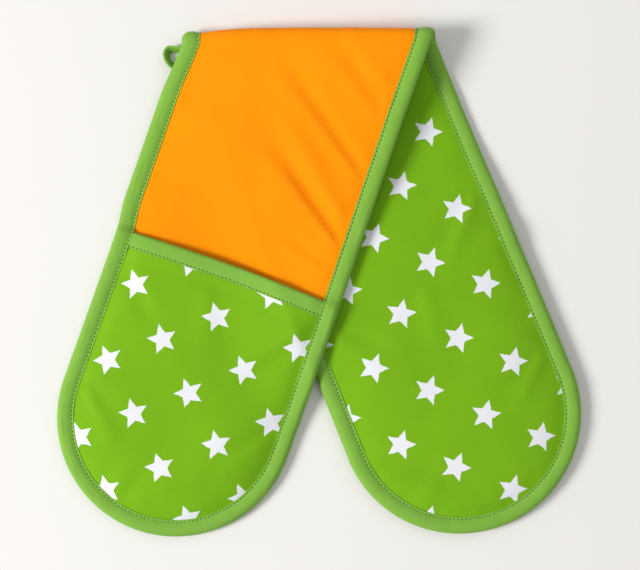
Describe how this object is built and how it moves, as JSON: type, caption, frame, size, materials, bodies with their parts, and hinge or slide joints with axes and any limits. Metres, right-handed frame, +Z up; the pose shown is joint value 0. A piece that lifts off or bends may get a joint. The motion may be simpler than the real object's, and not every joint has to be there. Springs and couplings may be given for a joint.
{
  "type": "oven mitt",
  "caption": "Double oven glove: one padded cloth strip, folded across its middle, with a rounded hand pocket at each end, bound edges and a hanging loop.",
  "frame": {"origin": "centre of the folded glove's box in X and Y, on the surface it lies on", "axes": "+Z up, away from the surface; X along the fold line; the fold at the +Y side and the rounded ends toward -Y"},
  "size_m": [0.3932, 0.3894, 0.0402],
  "materials": {
    "star_print": "green woven cotton printed with white five-pointed stars",
    "orange_lining": "bright orange brushed cotton lining",
    "green_binding": "light green folded bias binding",
    "green_thread": "green polyester sewing thread",
    "wadding": "off-white felted heat-proof wadding"
  },
  "bodies": {
    "lower_half": {"lower_star_panel": "star_print", "lower_wadding": "wadding", "lower_lining": "orange_lining", "lower_edge_binding": "green_binding", "lower_edge_stitching": "green_thread", "fold_star_panel": "star_print", "fold_wadding": "wadding", "fold_lining": "orange_lining", "fold_edge_binding": "green_binding", "loop_bar_tack": "green_thread"},
    "upper_half": {"upper_star_panel": "star_print", "upper_wadding": "wadding", "upper_lining": "orange_lining", "upper_edge_binding": "green_binding", "upper_edge_stitching": "green_thread"},
    "lower_pocket": {"lower_pocket_front": "star_print", "lower_pocket_wadding": "wadding", "lower_pocket_lining": "orange_lining", "lower_pocket_mouth_binding": "green_binding", "lower_pocket_mouth_stitching": "green_thread"},
    "upper_pocket": {"upper_pocket_front": "star_print", "upper_pocket_wadding": "wadding", "upper_pocket_lining": "orange_lining", "upper_pocket_mouth_binding": "green_binding", "upper_pocket_mouth_stitching": "green_thread"},
    "hanging_loop": {"hanging_loop": "green_binding"}
  },
  "joints": [
    {"name": "fold", "type": "hinge", "parent": "lower_half", "child": "upper_half", "pos_m": [-0.13369, 0.17799, 0.0064], "axis": [-0.999, 0, -0.0448], "range_deg": [0, 178], "deforming": ["fold_star_panel", "fold_wadding", "fold_lining", "fold_edge_binding"]},
    {"name": "upper_pocket_mouth", "type": "hinge", "parent": "upper_half", "child": "upper_pocket", "pos_m": [-0.13353, -0.17584, 0.01234], "axis": [0.9323, -0.3518, 0.0839], "range_deg": [-0.5, 7]},
    {"name": "lower_pocket_mouth", "type": "hinge", "parent": "lower_half", "child": "lower_pocket", "pos_m": [0.13332, -0.17584, 0.0083], "axis": [-0.9361, -0.3518, 0], "range_deg": [0, 9]},
    {"name": "loop_swing", "type": "hinge", "parent": "lower_half", "child": "hanging_loop", "pos_m": [-0.09604, 0.17203, 0], "axis": [0, 0, 1], "range_deg": [-20, 20]}
  ]
}
